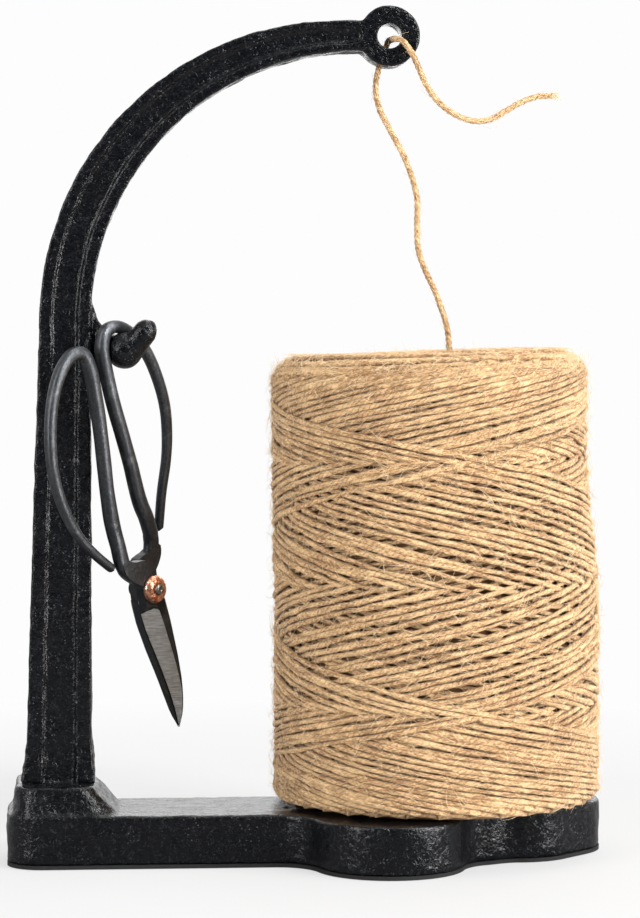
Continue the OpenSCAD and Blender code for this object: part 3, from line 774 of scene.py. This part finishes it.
def cap_line():
    """The strand that winds from the shoulder over the top to the hollow, and down into it."""
    heights = np.linspace(PACKAGE_HIGH - 7.5 * MM, PACKAGE_HIGH, 40)
    rounding = [(side_radius(z) - 0.25 * STRAND, z - 0.35 * STRAND) for z in heights]
    hollow = BORE + 0.6 * STRAND
    profile = np.array(rounding + [
        (hollow + 1.5 * MM, PACKAGE_HIGH - 0.4 * STRAND),
        (hollow + 0.3 * MM, PACKAGE_HIGH - 0.9 * STRAND),
        (hollow, PACKAGE_HIGH - 2 * STRAND), (hollow, PACKAGE_HIGH - 13 * STRAND)])
    steps = distances(profile)
    turns = steps[-1] / CAP_PITCH
    count = int(turns * CAP_TURN_POINTS)
    place = np.linspace(0, steps[-1], count)
    angle = 2 * math.pi * place / CAP_PITCH
    radius = np.interp(place, steps, profile[:, 0]) + wander(301, count, 1.2 * MM, 22)
    height = np.interp(place, steps, profile[:, 1]) + wander(302, count, 1.3 * MM, 14)
    points = np.stack([radius * np.cos(angle), radius * np.sin(angle), height], axis=1)
    ways = np.gradient(profile, axis=0)
    outward_radius = np.interp(place, steps, ways[:, 1])
    outward_height = np.interp(place, steps, -ways[:, 0])
    outward = unit(np.stack([
        outward_radius * np.cos(angle), outward_radius * np.sin(angle), outward_height], axis=1))
    thickness = 0.5 * STRAND * (1.0 + wander(303, count, 0.4, 14))
    return leaning(points), outward, thickness[:, None]


top_line = cap_line()
rising_lines = [pass_line(own, True) for own in range(PASSES)]
falling_lines = [pass_line(own, False) for own in range(PASSES)]
body_top = PACKAGE_HIGH - 1.1 * STRAND
body_profile = [(BORE + 0.8 * STRAND, PACKAGE_LOW), (SIDE_LOW - FOOT - STRAND, PACKAGE_LOW)]
for height in np.linspace(PACKAGE_LOW + 0.6 * MM, PACKAGE_HIGH - 1.4 * STRAND, 40):
    body_profile.append((float(side_radius(height)) - 1.35 * STRAND, height))
body_profile += [(SIDE_HIGH - SHOULDER - STRAND, body_top), (BORE + 1.2 * STRAND, body_top)]
body_mesh = lathe_mesh("twine_body_look", body_profile, 96)
body_points = leaning([vertex.co for vertex in body_mesh.vertices])
body_mesh.vertices.foreach_set("co", body_points.reshape(-1))
add_piece("twine_body_look", body_mesh, "twine_package", [shaded_jute_inside], ["twine_core"])
for name, lines, replaced in (
        ("twine_rising_look", rising_lines, ["twine_winding"]),
        ("twine_falling_look", falling_lines, []), ("twine_cap_look", [top_line], [])):
    strands = tubes_mesh(name, lines, STRAND_SIDES, PLY_TWIST)
    add_piece(name, strands, "twine_package", [jute], replaced)


# Loose fibres that stand off the twine

chance = random.Random(7)
# No fibre of the package reaches down to the base
FIBRE_LOW = PACKAGE_LOW + 0.5 * MM
FIBRE_SIDES = 3
SIDE_FIBRES = 10500
TOP_FIBRES = 6500
# Points of the top's strand that lie outside the hollow
TOP_POINTS = 1900
LEAD_FIBRES = 170
FRAY_FIBRES = 26


def fibre_line(start, along, outward, length, lift, radius):
    """One short curled hair: it leaves along the strand and curls off it."""
    across = np.cross(along, outward)
    bend = chance.uniform(-0.6, 0.6)
    rows = []
    for t in np.linspace(0, 1, 6):
        rows.append(start + along * length * t + outward * lift * t * (1.35 - 0.5 * t)
                    + across * length * bend * t * t)
    points = np.array(rows)
    sides = np.tile(across, (len(points), 1))
    widths = radius * np.linspace(1, 0.45, len(points))
    return points, sides, widths[:, None]


def package_fibres(lines, count, longest, highest):
    """Fibres at random places on strands, up to a length and a height in millimetres."""
    made = []
    while len(made) < count:
        points, outward, radii = chance.choice(lines)
        i = chance.randrange(4, len(points) - 4)
        along = points[i + 1] - points[i - 1]
        along = along / np.linalg.norm(along) * chance.choice((-1, 1))
        tilt = chance.uniform(-1.1, 1.1)
        across = np.cross(along, outward[i])
        direction = along * math.cos(tilt) + across * math.sin(tilt)
        start = points[i] + outward[i] * radii[i][0] * 0.8
        hair = fibre_line(
            start, direction, outward[i], chance.uniform(2, longest) * MM,
            chance.uniform(0.1, highest) ** 1.3 * MM, chance.uniform(0.05, 0.1) * MM)
        if np.min(hair[0][:, 2]) > FIBRE_LOW:
            made.append(hair)
    return made


def lead_fibres(count):
    """Fibres at random places on the free twine."""
    made = []
    ahead = headings(lead_line)
    for _ in range(count):
        i = chance.randrange(20, len(lead_line) - 4)
        turn = chance.uniform(0, 2 * math.pi)
        across = np.cross(ahead[i], lead_sides[i])
        outward = lead_sides[i] * math.cos(turn) + across * math.sin(turn)
        made.append(fibre_line(
            lead_line[i] + outward * 0.45 * STRAND, ahead[i] * chance.choice((-1, 1)), outward,
            chance.uniform(1.5, 5) * MM, chance.uniform(0.3, 1.6) * MM, chance.uniform(0.04, 0.07) * MM))
    return made


def frayed_end(count):
    """The plies and fibres that open out at the free end."""
    made = []
    ahead = headings(lead_line)[-1]
    side = lead_sides[-1]
    for k in range(count):
        turn = 2 * math.pi * k / count + chance.uniform(-0.3, 0.3)
        outward = side * math.cos(turn) + np.cross(ahead, side) * math.sin(turn)
        start = lead_line[-1] - ahead * 1.2 * MM + outward * chance.uniform(0.1, 0.42) * STRAND
        made.append(fibre_line(
            start, ahead, outward, chance.uniform(2, 4.5) * MM, chance.uniform(0.1, 1.1) * MM,
            chance.uniform(0.07, 0.16) * MM))
    return made


side_hairs = package_fibres(rising_lines + falling_lines, SIDE_FIBRES, 9, 2)
top_hairs = package_fibres([tuple(part[:TOP_POINTS] for part in top_line)], TOP_FIBRES, 6, 0.7)
lead_hairs = lead_fibres(LEAD_FIBRES) + frayed_end(FRAY_FIBRES)
for name, hairs in (("package_fibres", side_hairs), ("top_fibres", top_hairs)):
    add_piece(name, tubes_mesh(name, hairs, FIBRE_SIDES), "twine_package", [fibre])
fray = add_piece(
    "lead_fibres", tubes_mesh("lead_fibres", lead_hairs, FIBRE_SIDES), "stand", [fibre])


# Scissors

def handle_rows(points):
    """Middle line, half width, half depth and shift to its own side, along a handle.

    A flat shank turns into the round rod.
    """
    side, along = points[0]
    rows = [
        (0.55 * side, along - 6.6, 2.2, 1.75, 2.0), (0.8 * side, along - 3.6, 2.6, 1.8, 1.98),
        (0.97 * side, along - 0.6, 2.75, 1.95, 1.9),
        (0.5 * side + 0.5 * points[1][0], along + 2.6, 2.7, 2.2, 1.3)]
    last = len(points) - 1
    for i in range(1, len(points)):
        thinning = max(0, (i / last - TAPER_FROM) / (1 - TAPER_FROM))
        half = (ROD - (ROD - ROD_END) * thinning) / 2
        wide = half * (1.1 if i < 4 else 1.0)
        # The shank and the free end lie in their half's own layer
        shift = 1.6 * max(0, 1 - i / 2, 1 - (last - i) / 4)
        rows.append((*points[i], wide, half, shift))
    return np.array(rows)


ROD_SIDES = 20
ROD_ROUNDING = 1.5 * MM


def handle_mesh(name, points, back):
    """The forged rod with its loop, flattened where it joins the blade. back is 1 for the half behind."""
    rows = smooth_line(handle_rows(points) * MM, 1.1 * MM)
    count = ROD_SIDES
    points = np.stack([rows[:, 0], back * rows[:, 4], rows[:, 1]], axis=1)
    depth_way = np.tile([0.0, 1.0, 0.0], (len(points), 1))
    angles = 2 * math.pi * np.arange(count) / count
    # A section between a circle and a rounded square
    section = 1 + 0.045 * np.cos(4 * angles - math.pi)
    along = distances(points)
    dents = np.array([
        [noise.noise(Vector((place / (9 * MM), 1.3 * math.cos(a), 1.3 * math.sin(a)))) for a in angles]
        for place in along])
    half_depth, half_width = rows[:, 3][:, None], rows[:, 2][:, None]
    half = np.hypot(half_depth * np.cos(angles)[None, :], half_width * np.sin(angles)[None, :])
    radii = half * section[None, :] * (1 + 0.035 * dents)
    # Round off the free end
    left = along[-1] - along
    shrink = np.sqrt(np.clip(1 - np.clip(1 - left / ROD_ROUNDING, 0, 1) ** 2, 0.02, 1))
    return tubes_mesh(name, [(points, depth_way, radii * shrink[:, None])], count)


def plate_mesh(name, inner, outer, near, far):
    """A flat plate between two outlines of (sideways, along) with as many points, at two depths."""
    count = len(inner)
    points = [(p * MM, near, v * MM) for p, v in inner] + [(p * MM, far, v * MM) for p, v in outer]
    faces = [tuple(range(count)), tuple(range(2 * count - 1, count - 1, -1))]
    faces += [(i, i + count, (i + 1) % count + count, (i + 1) % count) for i in range(count)]
    return outward_faces(mesh_from(name, points, faces))


# Length of a blade below the rivet, and its thickness near the tip, in millimetres
BLADE_LENGTH = 49.5
BLADE_TIP = 1.4
# The blade keeps its full thickness down to this share of its length
FULL_TO = 0.25
# Outlines of the blades, [sideways, share of the blade's length], from the heel to the tip
FRONT_SPINE = [
    (4.4, 0.06), (4.7, 0.1), (5.1, 0.22), (5.6, 0.37), (6.1, 0.52), (6.1, 0.655), (5.2, 0.795),
    (4.4, 0.867), (3.4, 0.94), (2.2, 1),
]
FRONT_RIDGE = [
    (0.2, 0.06), (0.4, 0.12), (1, 0.19), (2, 0.313), (3.4, 0.465), (4.5, 0.632), (4.9, 0.735),
    (4.6, 0.79), (3.7, 0.88), (2.15, 1),
]
FRONT_EDGE = [
    (-4.45, 0.06), (-4.4, 0.154), (-3.7, 0.275), (-2, 0.426), (-0.3, 0.578), (1.2, 0.747), (2, 0.887),
    (2.1, 1),
]
BACK_SPINE = [
    (-4.3, 0.06), (-4.4, 0.1), (-4.1, 0.22), (-2.9, 0.42), (-1.4, 0.592), (0, 0.772), (1.1, 0.9), (2.2, 1),
]
BACK_RIDGE = [
    (-0.8, 0.06), (-0.8, 0.19), (-0.6, 0.31), (0, 0.46), (0.6, 0.59), (1, 0.7), (1.4, 0.79), (2.15, 1),
]
BACK_EDGE = [
    (4.2, 0.06), (4.4, 0.2), (5, 0.37), (5.6, 0.52), (5.6, 0.655), (4.8, 0.795), (4, 0.867), (2.1, 1),
]
# Shares of the blade's length at which it has a section
BLADE_SECTIONS = [
    0.06, 0.1, 0.14, 0.18, 0.22, 0.26, 0.34, 0.42, 0.5, 0.58, 0.66, 0.74, 0.81, 0.87, 0.92, 0.96, 0.985, 1,
]
# The corner of a section that the ground face starts from
RIDGE_CORNER = 3


def blade_mesh(name, spine, ridge, edge, back):
    """A blade that is ground between its ridge and its edge. back is 1 for the blade behind."""
    lines = []
    for line in (spine, ridge, edge):
        sideways, lengthwise = zip(*line)
        lines.append(np.interp(BLADE_SECTIONS, lengthwise, sideways))
    outer = back * BLADE_BACK / MM
    inner = back * BLADE_GAP / MM
    edge_depth = inner + back * 0.25
    columns = []
    for share, s, r, e in zip(BLADE_SECTIONS, *lines):
        # The blade thins towards its tip
        gone = max(0, share - FULL_TO) / (1 - FULL_TO)
        top = outer - (outer - inner - back * BLADE_TIP) * gone
        # The last part is ground to a point
        top -= (top - inner - back * 0.3) * max(0, share - 0.9) / 0.1
        v = -share * BLADE_LENGTH
        side = math.copysign(min(0.5, 0.3 * abs(r - s)), r - s)
        columns.append([
            (s, inner, v), (s, inner + (top - inner) * 0.75, v), (s + side, top, v), (r, top, v),
            (e, edge_depth, v), (e, inner, v)])
    width = len(columns[0])
    points = [tuple(part * MM for part in corner) for column in columns for corner in column]
    faces = []
    places = []
    for i in range(len(columns) - 1):
        for k in range(width):
            a = i * width + k
            b = i * width + (k + 1) % width
            faces.append((a, b, b + width, a + width))
            places.append(1 if k == RIDGE_CORNER else 0)
    last = (len(columns) - 1) * width
    faces += [tuple(range(width - 1, -1, -1)), tuple(range(last, last + width))]
    mesh = mesh_from(name, points, faces)
    mesh.polygons.foreach_set("material_index", places + [0, 0])
    return outward_faces(mesh)


def outward_faces(mesh):
    """Turns all faces of a closed mesh outwards."""
    made = bmesh.new()
    made.from_mesh(mesh)
    bmesh.ops.recalc_face_normals(made, faces=made.faces)
    made.to_mesh(mesh)
    made.free()
    return mesh


def joined(name, meshes):
    """One mesh of several, each keeping its own material places."""
    points, faces, places, shading = [], [], [], []
    for mesh in meshes:
        offset = len(points)
        points += [tuple(vertex.co) for vertex in mesh.vertices]
        for polygon in mesh.polygons:
            faces.append(tuple(i + offset for i in polygon.vertices))
            places.append(polygon.material_index)
            shading.append(polygon.use_smooth)
    made = mesh_from(name, points, faces)
    made.polygons.foreach_set("material_index", places)
    made.polygons.foreach_set("use_smooth", shading)
    return made


# The flat of a half with its handle on the right, [sideways, along]: the part that both of its faces share,
# and then its foot on the inner and on the outer face, where the grinding of the blade begins
PLATE_SIDES = [
    (-4.2, -5), (-4.2, -3.4), (-4, -1), (-3.7, 1.5), (-3.4, 3.8), (-3, 5.6), (-2.5, 7.3), (-1.4, 9),
    (0.4, 10.1), (2.6, 10.6), (4.4, 10.8), (6.2, 11.4), (7.6, 12.4), (9.8, 12.4), (10.9, 11.4), (10.8, 10),
    (10.3, 8.4), (9.4, 7), (8.2, 5.6), (6.8, 4.3), (5.4, 3.3), (4.3, 2.4), (3.9, 1.4), (4, 0), (4.2, -1.6),
    (4.4, -3.6),
]
FOOT_INNER = [
    (4.5, -7.4), (3.9, -7.8), (2.6, -8), (0.8, -8.3), (-0.4, -8.6), (-0.9, -9.2), (-1.4, -9.6), (-4, -9.6),
]
FOOT_OUTER = [
    (4.4, -4.9), (3.6, -5), (2.4, -5.2), (0.7, -6), (-0.3, -6.9), (-0.8, -8), (-1.2, -9.4), (-3.5, -9.6),
]
# The blade's spine is broken along the outer face, and so is the flat above it
SPINE_FROM = -3.3
SPINE_BREAK = 0.6
OUTER_SIDES = [
    (side + SPINE_BREAK if side < SPINE_FROM else side, along) for side, along in PLATE_SIDES]

MIRROR = Matrix.Scale(-1, 4, (1, 0, 0))


def scissors_half(node, body, back, points, blade):
    """A half's piece. back is 1 for the half behind and -1 for the one in front, which is mirrored."""
    plate = plate_mesh(
        node + "_plate", PLATE_SIDES + FOOT_INNER, OUTER_SIDES + FOOT_OUTER,
        back * BLADE_GAP, back * BLADE_BACK)
    rod = outward_faces(handle_mesh(node + "_rod", points, back))
    handle = joined(node + "_handle", [rod, plate])
    if back < 0:
        handle.transform(MIRROR)
        handle.flip_normals()
    mesh = joined(node + "_look", [handle, blade])
    mesh.transform(HUNG)
    piece = add_piece(node + "_look", mesh, body, [steel, bevel_steel], [node])
    bevel = piece.modifiers.new("bevel", "BEVEL")
    bevel.width = 0.22 * MM
    bevel.segments = 2
    bevel.limit_method = "ANGLE"
    bevel.angle_limit = math.radians(38)


scissors_half(
    "scissors_back_half", "scissors", 1, BACK_POINTS,
    blade_mesh("back_blade", BACK_SPINE, BACK_RIDGE, BACK_EDGE, 1))
scissors_half(
    "scissors_front_half", "scissors_front", -1, FRONT_POINTS,
    blade_mesh("front_blade", FRONT_SPINE, FRONT_RIDGE, FRONT_EDGE, -1))

# Axis of the rivet: the lathe's Z points to the front
ALONG_RIVET = HUNG @ Matrix.Rotation(math.radians(90), 4, "X")


def dented(mesh, reach, size):
    """Small hammer dents along the normals."""
    spots = [v.co + v.normal * noise.noise(v.co / size) * reach for v in mesh.vertices]
    mesh.vertices.foreach_set("co", [part for spot in spots for part in spot])
    return smooth(mesh)


def dome_profile(inner, outer, low, rim, height):
    """Half section of a domed washer with a round edge."""
    curve = [(inner, low), (outer - 0.15, low), (outer, low + 0.2), (outer, low + rim)]
    for k in range(1, 13):
        a = math.radians(90 * k / 12)
        radius = inner + (outer - inner) * math.cos(a) ** 0.8
        curve.append((radius, low + rim + (height - rim) * math.sin(a)))
    return [(r * MM, z * MM) for r, z in curve]


WASHER_STEPS = 56
washer = lathe_mesh("copper_washer_look", dome_profile(1.8, 4.65, 4.0, 0.5, 2.5), WASHER_STEPS)
dented(washer, 0.06 * MM, 1.6 * MM).transform(ALONG_RIVET)
add_piece("copper_washer_look", washer, "scissors", [copper], ["copper_washer"])
backing = lathe_mesh("back_washer_look", dome_profile(1.8, 3.2, 3.9, 0.5, 1.0), WASHER_STEPS)
backing.transform(HUNG @ Matrix.Rotation(math.radians(-90), 4, "X"))
add_piece("back_washer_look", backing, "scissors", [steel], ["back_washer"])

# Half section of the rivet in millimetres, (radius, height), from its head at the back
RIVET_PROFILE = [
    (0.02, -5.8), (1.8, -5.8), (2.2, -5.55), (2.35, -5.1), (2.35, -4.92), (1.75, -4.9), (1.75, 6.9),
    (1.6, 7.25), (1.1, 7.38), (0.02, 7.4),
]
rivet = lathe_mesh("scissors_rivet_look", [(r * MM, z * MM) for r, z in RIVET_PROFILE], 40)
rivet.transform(ALONG_RIVET)
add_piece("scissors_rivet_look", rivet, "scissors", [rivet_steel], ["scissors_rivet"])


# Floor, light and backdrop

MIDDLE = (-0.04, 0, 0.13)
# White that the camera sees behind the object
BACKDROP = 0.982
FLOOR_REACH = 4.0
FLOOR_PLACE = (-0.04, 0, -0.0002)
# Near the object the floor takes shadow on this shade, over a glow
FLOOR_SHADE = 0.2
FLOOR_GLOW = 0.64
# Shades of the floor as it lights the object, and as the glossy paint mirrors it
FLOOR_LIGHTING = 0.8
FLOOR_MIRRORED = 0.26


def pale_floor():
    """A floor that is white to the camera, keeps the shadow by the object and fades into the backdrop."""
    graph = material_graph("pale_floor")
    graph.nodes.remove(graph.nodes["Principled BSDF"])
    spot = graph.node("ShaderNodeVectorMath", operation="LENGTH")
    graph.feed(spot.inputs[0], graph.place())
    far = graph.ramp(spot.outputs["Value"], [(0.2, 0.0), (0.42, 1.0)])
    near = graph.node("ShaderNodeAddShader")
    graph.feed(near.inputs[0], graph.diffuse(FLOOR_SHADE))
    graph.feed(near.inputs[1], graph.glow("ShaderNodeEmission", FLOOR_GLOW))
    seen = graph.choice(far, near.outputs[0], graph.glow("ShaderNodeEmission", BACKDROP))
    shader = graph.by_ray(graph.diffuse(FLOOR_LIGHTING), graph.diffuse(FLOOR_MIRRORED), seen)
    graph.show("Material Output", shader)
    return graph.owner


floor_corners = [(FLOOR_REACH * x, FLOOR_REACH * y, 0) for x, y in ((-1, -1), (1, -1), (1, 1), (-1, 1))]
floor = bpy.data.objects.new("floor", mesh_from("floor", floor_corners, [(0, 1, 2, 3)]))
floor.data.materials.append(pale_floor())
scene.collection.objects.link(floor)
floor.location = FLOOR_PLACE


def softbox(name, place, target, size, power):
    data = bpy.data.lights.new(name, "AREA")
    data.shape = "RECTANGLE"
    data.size, data.size_y = size
    data.energy = power
    lamp = bpy.data.objects.new(name, data)
    scene.collection.objects.link(lamp)
    lamp.location = place
    lamp.visible_camera = False
    direction = Vector(target) - Vector(place)
    lamp.rotation_mode = "QUATERNION"
    lamp.rotation_quaternion = direction.to_track_quat("-Z", "Y")


softbox("key", (0.8, -0.8, 0.9), MIDDLE, size=(0.35, 0.45), power=14)
softbox("side", (0.88, -0.46, 0.24), (0.0, 0.0, 0.06), size=(0.18, 0.5), power=8)
softbox("fill", (-0.95, -0.7, 0.5), MIDDLE, size=(0.3, 0.9), power=8.5)
softbox("top", (0.15, 0.1, 1.25), MIDDLE, size=(0.8, 0.6), power=8)
softbox("rear", (0.1, 1.3, 0.6), MIDDLE, size=(2.0, 0.8), power=6)

# Light of the room on the object
ROOM = 0.28
# What the paint mirrors: dark on the camera's side, brighter to the back and under the ceiling
DARK_SIDE = 0.03
BACK_GAIN = 0.9
BACK_START = 0.36
CEILING_GAIN = 1.1
CEILING_START = -0.25


def studio_world():
    graph = Graph(bpy.data.worlds.new("studio"))
    graph.nodes.remove(graph.nodes["Background"])
    way = graph.parts(graph.node("ShaderNodeTexCoord").outputs["Generated"])
    backward = graph.math("MULTIPLY_ADD", way["Y"], BACK_GAIN, BACK_START, clamped=True)
    upward = graph.math("MULTIPLY_ADD", way["Z"], CEILING_GAIN, CEILING_START, clamped=True)
    mirrored = graph.math("MAXIMUM", graph.math("MAXIMUM", backward, upward), DARK_SIDE)
    shaders = [graph.glow("ShaderNodeBackground", strength) for strength in (ROOM, mirrored, BACKDROP)]
    graph.show("World Output", graph.by_ray(*shaders))
    return graph.owner


scene.world = studio_world()
